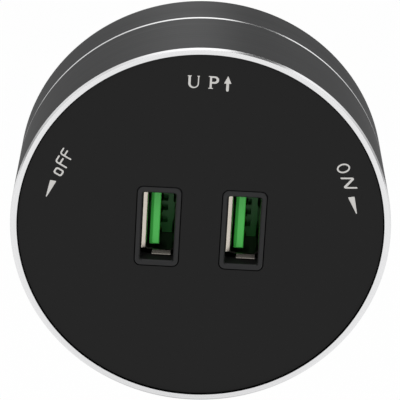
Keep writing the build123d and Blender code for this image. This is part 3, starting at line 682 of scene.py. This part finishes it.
def bent_f(width, height, stroke, bend):
    """F drawn with one round-ended line that bends from its stem into its top arm."""
    half = stroke / 2
    middle = 0.54 * height
    short_arm = 0.95 * width
    corners = [
        (-half, -half, half),
        (-half, height - half, bend + half),
        (width - half, height - half, half),
        (width - half, height - half - stroke, half),
        (half, height - half - stroke, bend - half),
        (half, middle + half, half),
        (short_arm - half, middle + half, half),
        (short_arm - half, middle - half, half),
        (half, middle - half, half),
        (half, -half, half),
    ]
    return [soften_each(corners)]


def leaning_n(width, height, stroke, lean):
    """N with round corners, its right side higher than its left."""
    right = width - stroke
    run = 1.2 * stroke
    inset = 1.6 * stroke
    half = stroke / 2
    corners = [
        (-half, 0, half),
        (-half, height, stroke),
        (run - half, height, half),
        (right - half, inset, half),
        (right - half, height, half),
        (right + half, height, half),
        (right + half, 0, stroke),
        (right + half - run, 0, half),
        (half, height - inset, half),
        (half, 0, half),
    ]
    return [[(x, z + lean * x) for x, z in soften_each(corners)]]


def pointer(left, right, tip):
    """Triangle with softened corners that points down at a blunt tip."""
    blunt = 0.08
    corners = [left, (tip[0] - blunt, tip[1]), (tip[0] + blunt, tip[1]), right]
    return [soften(corners, [0.14, 0.1, 0.1, 0.14])]


def placed(outlines, x, z, angle=0.0):
    """Outlines turned, then moved to a place on the face, all in millimetres."""
    c, s = cos(radians(angle)), sin(radians(angle))

    def place(px, pz):
        return x + c * px - s * pz, z + s * px + c * pz
    return [[place(*point) for point in outline] for outline in outlines]


def add_mark(name, signs, face_depth, ink, settings):
    """Prints signs on the face as raised ink with soft edges: each an outline and its holes."""
    # Points of a filled outline that are nearer than this are one
    same = 0.0005 * MM
    mesh = bmesh.new()
    for outlines in signs:
        curve = bpy.data.curves.new(name, "CURVE")
        curve.dimensions = "2D"
        curve.fill_mode = "BOTH"
        curve.extrude = settings.ink_thickness / 2 - settings.ink_edge
        curve.bevel_depth = settings.ink_edge
        curve.bevel_resolution = 1
        curve.offset = -settings.ink_edge
        for outline in outlines:
            spline = curve.splines.new("POLY")
            spline.points.add(len(outline) - 1)
            for point, (x, z) in zip(spline.points, outline):
                point.co = (x * MM, z * MM, 0, 1)
            spline.use_cyclic_u = True
        drawn = bpy.data.objects.new(name, curve)
        filled = bpy.data.meshes.new_from_object(drawn)
        mesh.from_mesh(filled)
        bpy.data.objects.remove(drawn)
        bpy.data.meshes.remove(filled)
        bpy.data.curves.remove(curve)
    bmesh.ops.remove_doubles(mesh, verts=mesh.verts, dist=same)
    onto_face = facing(face_depth - settings.ink_thickness / 2)
    bmesh.ops.transform(mesh, matrix=onto_face, verts=mesh.verts)
    add_piece(name, mesh, [ink], FRONT)


def add_face_edge(face_depth, finish, settings):
    """Crisp edge round the face, flush with it and clear of the rim's bore."""
    sleeves = bpy.context.scene.adapter_sleeves
    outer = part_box("front_sleeve")[1].x - sleeves.wall - settings.edge_gap
    inner = outer - settings.edge_width
    # Too little behind the face to be seen, so that the two surfaces don't fight
    step_back = 0.002 * MM
    front = face_depth + step_back
    back = front + settings.edge_depth
    foot = inner + settings.edge_width / 3
    section = [(inner, front), (outer, front), (outer, back), (foot, back)]
    # The two inner corners are inside the moulding, and stay sharp
    sharp = 0.001 * MM
    reaches = [sharp, settings.edge_radius, settings.edge_radius, sharp]
    mesh = bmesh.new()
    skin(mesh, [circle_ring(point, sleeves.segments) for point in soften(section, reaches)])
    add_piece("face_edge", mesh, [finish], FRONT)


class AdapterFace(Operator):
    """Finishes the moulded face and prints its marks"""
    bl_idname = "track_adapter.face"
    bl_label = "Face and marks"

    def execute(self, context):
        settings = context.scene.adapter_face
        black = spark_eroded_polycarbonate(settings)
        dress(black, "front_housing")
        face_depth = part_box("front_housing")[0].y
        add_face_edge(face_depth, black, settings)
        ink = printing_ink(settings)
        add_mark("mark_up", [
            placed(roman_u(), -2.82, 29.27),
            placed(roman_p(), 0.85, 29.34),
            placed(up_arrow(), 3.49, 29.22),
        ], face_depth, ink, settings)
        off_angle = 61.0
        add_mark("mark_off", [
            placed(square_o(1.4, 1.78, 0.44, 0.31), -27.13, 10.11, off_angle),
            placed(bent_f(1.55, 2.62, 0.31, 0.5), -25.76, 11.03, off_angle),
            placed(bent_f(1.45, 2.5, 0.29, 0.5), -25.02, 12.72, off_angle),
            placed(pointer((-0.57, 0.09), (0.6, -0.09), (-1.2, -3.32)), -28.11, 8.29),
        ], face_depth, ink, settings)
        on_angle = -87.0
        add_mark("mark_on", [
            # The oval leans over from the line of writing
            placed(oval(1.9, 2.5, 0.31), 26.08, 13.69, on_angle + 13),
            placed(leaning_n(2.22, 2.46, 0.32, 0.38), 25.69, 11.66, on_angle),
            placed(pointer((-0.6, -0.08), (0.61, 0.14), (1.26, -3.3)), 27.97, 7.98),
        ], face_depth, ink, settings)
        return {"FINISHED"}


# Ports


def add_bezel(side, settings, finishes):
    """Frame of one port: flange, nose with soft edges, chamfered hole and the pocket behind it."""
    name = "port_bezel_" + side
    low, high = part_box(name)
    middle = (low.x + high.x) / 2
    shell_low, shell_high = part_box("usb_shell_" + side)
    lips_x = (shell_low.x + shell_high.x) / 2
    lips_z = (shell_low.z + shell_high.z) / 2
    flange = (high.x - low.x, high.z - low.z, settings.corner)
    nose = (settings.nose_width, settings.nose_height, settings.corner)
    lead = 2 * settings.opening_chamfer
    corner = settings.opening_corner
    hole = (settings.opening_width, settings.opening_height, corner)
    mouth = (hole[0] + lead, hole[1] + lead, corner + settings.opening_chamfer)
    pocket = (settings.pocket_width, settings.pocket_height, settings.pocket_corner)
    back = high.y
    shoulder = back - settings.flange_thickness
    pocket_front = shell_low.y - settings.pocket_gap
    edge = settings.nose_edge
    sections = [
        (*flange, back, middle, 0),
        (*flange, shoulder, middle, 0),
        (*nose, shoulder, middle, 0),
        (*nose, low.y + edge, middle, 0),
        # Halfway round the nose's edge
        (nose[0] - 0.6 * edge, nose[1] - 0.6 * edge, nose[2], low.y + 0.3 * edge, middle, 0),
        (nose[0] - 2 * edge, nose[1] - 2 * edge, nose[2] - edge / 2, low.y, middle, 0),
        (*mouth, low.y, middle, 0),
        (*hole, low.y + settings.opening_chamfer, middle, 0),
        (*hole, pocket_front, middle, 0),
        (*pocket, pocket_front, lips_x, lips_z),
        (*pocket, back, lips_x, lips_z),
    ]

    def finish_of(place):
        across, along = abs(place.x - middle), abs(place.z)
        behind = place.y > pocket_front - TOUCH and across < pocket[0] and along < pocket[1] / 2
        return int(behind or (across < hole[0] / 2 + TOUCH and along < hole[1] / 2 + TOUCH))

    mesh = bmesh.new()
    rings = [box_ring(section) for section in soften(sections, settings.softness, 2)]
    skin(mesh, rings, finish_of)
    add_piece(name + "_frame", mesh, finishes, FRONT, [name])


class AdapterPorts(Operator):
    """Builds the frames of both ports, and finishes their shells, tongues and contacts"""
    bl_idname = "track_adapter.ports"
    bl_label = "Ports"

    def execute(self, context):
        settings = context.scene.adapter_ports
        # Satin ABS: its polished tool leaves a soft sheen and hardly any grain
        satin = moulded("satin_moulded_abs", settings.bezel, 1.53, 0.4, 0.2, 0.002, 0.25)
        # The same ABS from an unpolished tool: dull, and painted darker than the frame as painted
        # shade, so that the hole looks deep
        matt = moulded("matt_moulded_abs_painted_shade", settings.hole, 1.53, 0.6, 0.2, 0.004, 0.15)
        low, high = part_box("usb_shell_left")
        mouth, middle = low.y, (low.z + high.z) / 2
        # Painted shade: the plating is painted darker from the first millimetre of the shell
        # inwards, and on the lips at its ends
        plating = nickel_plated_steel(
            settings, near=mouth + 0.6 * MM, far=mouth + 1.3 * MM, middle=middle,
            end=high.z - middle - 1.2 * MM,
        )
        front, back = (corner.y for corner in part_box("usb_tongue_left"))
        green = green_polyester(settings, near=front + 1.0 * MM, far=back - 3.5 * MM)
        # Gold flash over bronze: a warm shine with fine marks along the strip
        gold = worked_metal("gold_flashed_bronze", settings.gold, 0.22)
        for side in ("left", "right"):
            add_bezel(side, settings, [satin, matt])
            dress(plating, "usb_shell_" + side)
            dress(green, "usb_tongue_" + side)
            dress(gold, "usb_contacts_" + side)
        return {"FINISHED"}


# Charger


class AdapterCharger(Operator):
    """Finishes the circuit board and what stands on it"""
    bl_idname = "track_adapter.charger"
    bl_label = "Charger"

    def execute(self, context):
        settings = context.scene.adapter_charger
        dress(solder_masked_laminate(settings), "main_board")
        # Sintered ferrite, ground on its faces: dull dark grey with a coarse grain
        dress(moulded("ground_ferrite", settings.ferrite, 1.6, 0.6, 0.15, 0.01), "transformer_core")
        dress(enamelled_wire(settings), "choke")
        # Polyester film tape: thin, smooth and glossy, with the turns just to be seen
        tape = moulded("wound_polyester_tape", settings.tape, 1.57, 0.25, 1.0, 0.01, 0.5)
        dress(tape, "transformer_winding")
        # Shrunk vinyl sleeve over a drawn can: glossy, a little uneven
        sleeve = moulded("shrunk_vinyl_sleeve", settings.can_sleeve, 1.54, 0.28, 0.8, 0.008, 0.5)
        dress(sleeve, "bulk_capacitors", "output_capacitors")
        # Epoxy from a dip: glossy and faintly lumpy
        dress(moulded("dipped_epoxy", settings.disc, 1.55, 0.22, 1.2, 0.03, 0.5), "y_capacitor")
        # Moulded polyester case: black-brown, with a plain tool finish
        dress(moulded("moulded_polyester_case", settings.fuse_case, 1.55, 0.45), "fuse")
        # Epoxy moulded round a chip: matt, from a blasted tool
        chip_case = moulded("moulded_epoxy_case", settings.epoxy, 1.55, 0.55, 0.1, 0.006)
        dress(chip_case, "bridge_rectifier", "controller_chips")
        return {"FINISHED"}


# Base, track key and screws


def cross_radius(angle, arm, half_width):
    """Distance to the outline of a cross recess, in a direction given in degrees."""
    folded = angle % 90
    folded = radians(min(folded, 90 - folded))
    reach = arm / cos(folded)
    return min(reach, half_width / sin(folded)) if folded > 0 else reach


def cross_angles(arm, half_width):
    """Even directions all round, and those of the cross's corners."""
    corner = degrees(atan2(half_width, arm))
    turns = (corner, 45, 90 - corner)
    corners = [quarter + turn for quarter in (0, 90, 180, 270) for turn in turns]
    count = 40
    return sorted({*corners, *(360 * index / count for index in range(count))})


def screw_rings(x, z, head_depth, tip_depth, head, shank):
    """Countersunk screw with a cross recess and a rolled thread, as rings from recess to tip."""
    way = 1 if tip_depth > head_depth else -1
    length = abs(tip_depth - head_depth)
    # The recess narrows on its way down
    arm, half_width, recess_depth = 0.58 * head, 0.17 * head, 0.45 * head
    angles = cross_angles(arm, half_width)

    def ring(down, radius_of):
        polar = [(radius_of(a), radians(a)) for a in angles]
        return [(x + r * cos(a), head_depth + way * down, z + r * sin(a)) for r, a in polar]

    def cross(share_of):
        return lambda a: share_of * cross_radius(a, arm, half_width)

    def disc(radius):
        return lambda a: radius

    edge = 0.06 * head
    neck = head - shank
    root, point = 0.8 * shank, 0.4 * shank
    rings = [
        ring(recess_depth, cross(0.55)),
        ring(edge, cross(0.92)),
        ring(0.0, cross(1.0)),
        ring(0.0, disc(head - edge)),
        ring(0.4 * edge, disc(head)),
        ring(neck, disc(shank)),
    ]
    pitch = 0.7 * shank
    down = neck + pitch
    while down < length - 1.6 * shank:
        rings += [ring(down, disc(shank)), ring(down + pitch / 2, disc(root))]
        down += pitch
    return rings + [ring(length - shank / 2, disc(root)), ring(length, disc(point))]


def add_screws(name, places, head_depth, tip_depth, head, shank, finish):
    """One piece of like screws. Each place is (x, z)."""
    mesh = bmesh.new()
    for x, z in places:
        skin(mesh, screw_rings(x, z, head_depth, tip_depth, head, shank), closed=False)
    add_piece(name + "_cross_headed", mesh, [finish], FRONT, [name])


def round_places(radius, *angles):
    return [(radius * cos(radians(angle)), radius * sin(radians(angle))) for angle in angles]


class AdapterTrackKey(Operator):
    """Finishes the base, the click mechanism and the key that locks in the track"""
    bl_idname = "track_adapter.track_key"
    bl_label = "Base and track key"

    def execute(self, context):
        settings = context.scene.adapter_key
        # Glass-filled nylon from a spark-eroded tool: matt, with fibres that roughen the skin
        nylon = moulded("glass_filled_nylon", settings.nylon, 1.53, 0.5, 0.25, 0.008)
        dress(nylon, "base_plate", "rear_cover", "contact_rotor", "rotor_cap")
        # Turned acetal: waxy and pale, with faint tool marks
        acetal = moulded("turned_acetal", settings.acetal, 1.48, 0.35, 0.3, 0.003, 0.5)
        dress(acetal, "thrust_washer")
        # Blanked spring steel: grey, rolled along the strip
        dress(worked_metal("blanked_spring_steel", settings.spring_steel, 0.3), "detent_springs")
        # Rolled phosphor bronze: a warm brown shine with rolling lines across the leaf
        bronze = worked_metal("rolled_spring_bronze", settings.bronze, 0.28, (4, 4, 0.15))
        dress(bronze, "live_contact", "neutral_contact", "earth_contact")
        # Extruded vinyl insulation: soft sheen, smooth along the lead
        for name in ("live", "neutral"):
            insulation = getattr(settings, name)
            vinyl = moulded("extruded_vinyl_" + name, insulation, 1.54, 0.45, 0.4, 0.003)
            dress(vinyl, name + "_lead")
        dress(striped_insulation(settings), "earth_lead")

        # Zinc plating, passivated clear: pale and soft, with a fine even grain
        zinc = worked_metal("zinc_plated_steel", settings.zinc, 0.32, (0.2,) * 3, 0.002)
        shank, head = settings.frame_screw_shank, settings.frame_screw_head
        low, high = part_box("frame_screws")
        places = round_places(-low.z - head, 30, 150, 270)
        add_screws("frame_screws", places, high.y, low.y, head, shank, zinc)
        shank, head = settings.small_screw_shank, settings.small_screw_head
        low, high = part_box("rotor_screws")
        places = round_places(high.z - head, 90, 210, 330)
        add_screws("rotor_screws", places, low.y, high.y, head, shank, zinc)
        low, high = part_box("cap_screws")
        places = [(low.x + head, 0.0), (high.x - head, 0.0)]
        add_screws("cap_screws", places, high.y, low.y, head, shank, zinc)
        return {"FINISHED"}


# Stage

# How bright the studio is, by degrees right of straight up, in front of the adapter and behind it
FRONT_STUDIO = {
    -180: 0.95, -106: 0.95, -97: 0.25, -86: 0.25, -77: 0.75, -58: 0.95, -40: 0.78,
    -22: 1.15, -8: 1.4, 11: 1.4, 14: 0.05, 30: 0.05, 35: 1.25,
    56: 1.05, 73: 0.65, 92: 0.3, 105: 0.95, 180: 0.95,
}
BACK_STUDIO = {
    -180: 0.36, -128: 0.33, -100: 0.38, -86: 0.43, -65: 0.5, -44: 0.67, -30: 0.84,
    -16: 0.97, 2: 0.95, 14: 0.77, 24: 0.47, 54: 0.55,
    68: 0.51, 82: 0.42, 96: 0.33, 110: 0.31, 138: 0.34, 180: 0.36,
}


def studio_levels(tree, turn, levels):
    """Brightness of the studio round the axis, from {degrees right of straight up: level}."""
    ramp = add_node(tree, "ValToRGB", {"Fac": turn})
    stops = ramp.color_ramp.elements
    while len(stops) < len(levels):
        stops.new(0.5)
    # All places first, because a stop that moves can change the order
    for stop, angle in zip(stops, sorted(levels)):
        stop.position = (angle + 180) / 360
    for stop, angle in zip(stops, sorted(levels)):
        stop.color = (*[levels[angle]] * 3, 1.0)
    return ramp


def add_world(settings):
    """Even light for matt surfaces, and for metal the studio: soft boxes with gaps between them."""
    world = bpy.data.worlds.new("studio")
    bpy.context.scene.world = world
    world.use_nodes = True
    tree = world.node_tree
    tree.nodes.clear()
    direction = add_node(tree, "TexCoord").outputs["Generated"]
    parts = add_node(tree, "SeparateXYZ", {"Vector": direction}).outputs
    turn = fade(tree, maths(tree, "ARCTAN2", parts["X"], parts["Z"]), -pi, pi)
    # The studio changes where a direction turns well towards the track
    behind = fade(tree, parts["Y"], 0.4, 0.7)
    level = mix(tree, {
        "Factor": behind,
        "A": studio_levels(tree, turn, FRONT_STUDIO),
        "B": studio_levels(tree, turn, BACK_STUDIO),
    })
    fill = add_node(tree, "Background", {"Color": WHITE, "Strength": settings.fill})
    studio = add_node(tree, "Background", {"Color": WHITE, "Strength": level})
    backdrop = add_node(tree, "Background", {"Color": WHITE, "Strength": 1.0})
    ray = add_node(tree, "LightPath").outputs
    lit = add_node(tree, "MixShader", {0: ray["Is Glossy Ray"], 1: fill, 2: studio})
    shown = add_node(tree, "MixShader", {0: ray["Is Camera Ray"], 1: lit, 2: backdrop})
    add_node(tree, "OutputWorld", {"Surface": shown})


def floor_material(settings):
    """Matt white sweep, shown white to the camera, glowing in the metal with painted shade under
    and behind the adapter, and with its shadow kept.
    """
    material, tree, place = new_material("matt_studio_sweep")
    # Paint that a roller left uneven over about 4 mm
    paint = mix(tree, shades(noise(tree, place, 4), settings.floor, 0.98, 1.0))
    matt = add_node(tree, "BsdfPrincipled", {"Base Color": paint, "Roughness": 0.9})
    ray = add_node(tree, "LightPath").outputs
    camera, glossy = ray["Is Camera Ray"], ray["Is Glossy Ray"]
    # Painted shade: in the metal, the sweep's glow fades out behind the adapter, where the studio
    # is darker
    depth = add_node(tree, "SeparateXYZ", {"Vector": place}).outputs["Y"]
    faded = fade(
        tree, depth, settings.sweep_start, settings.sweep_end, 1.0, settings.sweep_far_level
    )
    # A painted shadow darkens the floor's glow in an ellipse under the adapter, and this much of
    # the ellipse fully
    full_shade = 0.2
    oval_scale = (1 / settings.shade_width, 1 / settings.shade_length, 0.0)
    spread = maths(tree, "MULTIPLY", place, oval_scale, kind="VectorMath")
    off_middle = maths(tree, "LENGTH", spread, kind="VectorMath")
    shaded = fade(tree, off_middle, full_shade, 1.0, settings.shade_level)
    level = maths(tree, "MAXIMUM", maths(tree, "MULTIPLY", faded, shaded), camera)
    white = add_node(tree, "Emission", {"Color": WHITE, "Strength": level})
    seen = maths(tree, "MAXIMUM", camera, glossy)
    # The rest is paint, which takes the shadow
    most = 0.9
    white_part = maths(tree, "MULTIPLY", seen, most)
    mixed = add_node(tree, "MixShader", {0: white_part, 1: matt, 2: white})
    add_node(tree, "OutputMaterial", {"Surface": mixed})
    return material


def add_floor(settings):
    half = settings.floor_reach
    mesh = bmesh.new()
    corners = [(-half, -half), (half, -half), (half, half), (-half, half)]
    mesh.faces.new([mesh.verts.new((x, y, -settings.floor_drop)) for x, y in corners])
    data = bpy.data.meshes.new("studio_floor")
    mesh.to_mesh(data)
    mesh.free()
    data.materials.append(floor_material(settings))
    add_object("studio_floor", data)


def add_lamp(settings):
    """A soft box that points at the face. Metal shows the world's soft boxes instead of it."""
    lamp = bpy.data.lights.new("overhead_softbox", "AREA")
    lamp.shape = "DISK"
    lamp.size = settings.lamp_width
    lamp.energy = settings.lamp_power
    box = add_object("overhead_softbox", lamp)
    box.location = settings.lamp_place
    aim = Vector((0, cad_box[0].y, 0)) - Vector(settings.lamp_place)
    box.rotation_euler = aim.to_track_quat("-Z", "Y").to_euler()
    box.visible_glossy = False


def add_camera(settings):
    """Camera above and in front of the face, turned a little about the adapter's axis."""
    camera = bpy.data.cameras.new("camera")
    camera.sensor_width = 36.0
    camera.lens = settings.focal_length
    viewer = add_object("camera", camera)
    turn = Matrix.Rotation(settings.roll, 4, "Z") @ Matrix.Rotation(-settings.yaw, 4, "Y")
    tilt = Matrix.Rotation(-settings.tilt, 4, "X")
    back_off = Matrix.Translation((settings.aim_side, settings.aim_height, settings.distance))
    viewer.matrix_world = facing(cad_box[0].y) @ turn @ tilt @ back_off
    bpy.context.scene.camera = viewer


class AdapterStage(Operator):
    """Adds the floor, the light and the camera"""
    bl_idname = "track_adapter.stage"
    bl_label = "Stage"

    def execute(self, context):
        settings = context.scene.adapter_stage
        context.scene.view_settings.view_transform = "Standard"
        add_world(settings)
        add_floor(settings)
        add_lamp(settings)
        add_camera(settings)
        return {"FINISHED"}


class AdapterPanel(Panel):
    bl_idname = "VIEW3D_PT_track_adapter"
    bl_label = "Power Track Adapter"
    bl_space_type = "VIEW_3D"
    bl_region_type = "UI"
    bl_category = "Track Adapter"

    def draw(self, context):
        layout = self.layout
        for operator in OPERATORS:
            layout.operator(operator.bl_idname)
        for group, name in SETTINGS.items():
            settings = getattr(context.scene, name)
            box = layout.box()
            for prop in group.__annotations__:
                box.prop(settings, prop)


SETTINGS = {
    SleeveSettings: "adapter_sleeves",
    FaceSettings: "adapter_face",
    PortSettings: "adapter_ports",
    ChargerSettings: "adapter_charger",
    TrackKeySettings: "adapter_key",
    StageSettings: "adapter_stage",
}
OPERATORS = (
    AdapterSleeves, AdapterFace, AdapterPorts, AdapterCharger, AdapterTrackKey, AdapterStage,
)
CLASSES = (*SETTINGS, *OPERATORS, AdapterPanel)


def register():
    for cls in CLASSES:
        bpy.utils.register_class(cls)
    for group, name in SETTINGS.items():
        setattr(bpy.types.Scene, name, PointerProperty(type=group))


def unregister():
    for name in SETTINGS.values():
        delattr(bpy.types.Scene, name)
    for cls in reversed(CLASSES):
        bpy.utils.unregister_class(cls)


def main():
    register()
    bpy.ops.track_adapter.sleeves()
    bpy.ops.track_adapter.face()
    bpy.ops.track_adapter.ports()
    bpy.ops.track_adapter.charger()
    bpy.ops.track_adapter.track_key()
    bpy.ops.track_adapter.stage()


if __name__ == "__main__":
    main()
